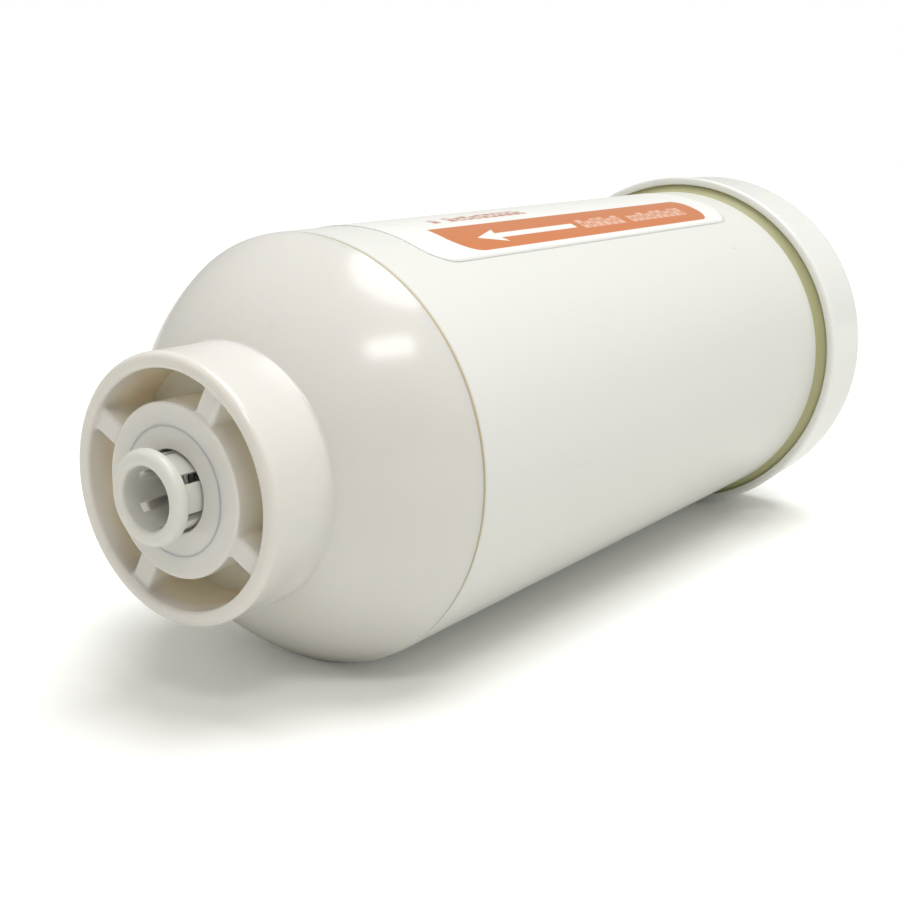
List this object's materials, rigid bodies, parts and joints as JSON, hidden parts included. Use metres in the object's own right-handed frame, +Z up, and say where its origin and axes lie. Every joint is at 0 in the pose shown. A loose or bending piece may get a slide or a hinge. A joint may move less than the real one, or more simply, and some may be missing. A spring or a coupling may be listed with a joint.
{
  "type": "inline water filter",
  "caption": "Cylindrical inline drinking-water filter with a carbon core and a push-fit port with a sliding release collet at each end.",
  "frame": {"origin": "centre of the filter's bounding box, on its axis, midway between the two collet faces", "axes": "+X along the filter's axis from the outlet end to the inlet end, against the flow; +Z up through the label"},
  "size_m": [0.146, 0.0556, 0.0556],
  "materials": {
    "dome_plastic": "moulded warm white plastic, glossy",
    "tube_plastic": "extruded white plastic, satin",
    "cap_plastic": "moulded warm white plastic, glossy",
    "weld_tan": "thin line of beige weld flash",
    "sealant": "cured olive sealant",
    "label_paper": "coated white sticker with an orange strip and a flow arrow",
    "collet_plastic": "moulded off-white acetal, satin",
    "retainer_plastic": "moulded warm white plastic, glossy, as the end caps",
    "tooth_steel": "sprung stainless steel, bright",
    "seal_rubber": "black nitrile rubber",
    "carbon": "plastic-bound activated carbon, matt black and grainy",
    "wrap_felt": "white non-woven polypropylene felt",
    "net_plastic": "white extruded diamond netting",
    "core_plastic": "natural white polypropylene",
    "block_cap_plastic": "moulded white polypropylene"
  },
  "bodies": {
    "housing": {"housing_tube": "tube_plastic", "outlet_end_cap": "dome_plastic", "inlet_end_cap": "cap_plastic", "outlet_weld_bead": "weld_tan", "inlet_weld_bead": "sealant", "label": "label_paper", "carbon_block": "carbon", "prefilter_wrap": "wrap_felt", "wrap_netting": "net_plastic", "core_tube": "core_plastic", "block_outlet_cap": "block_cap_plastic", "block_inlet_cap": "block_cap_plastic", "nipple_o_ring": "seal_rubber", "outlet_collet_retainer": "retainer_plastic", "outlet_spacer_ring": "core_plastic", "outlet_tube_o_ring": "seal_rubber", "inlet_collet_retainer": "retainer_plastic", "inlet_spacer_ring": "core_plastic", "inlet_tube_o_ring": "seal_rubber"},
    "outlet_collet": {"outlet_collet": "collet_plastic", "outlet_grip_teeth": "tooth_steel"},
    "inlet_collet": {"inlet_collet": "collet_plastic", "inlet_grip_teeth": "tooth_steel"}
  },
  "joints": [
    {"name": "outlet_collet_release", "type": "slide", "parent": "housing", "child": "outlet_collet", "axis": [1, 0, 0], "range_m": [0, 0.0015]},
    {"name": "inlet_collet_release", "type": "slide", "parent": "housing", "child": "inlet_collet", "axis": [-1, 0, 0], "range_m": [0, 0.0015]}
  ]
}
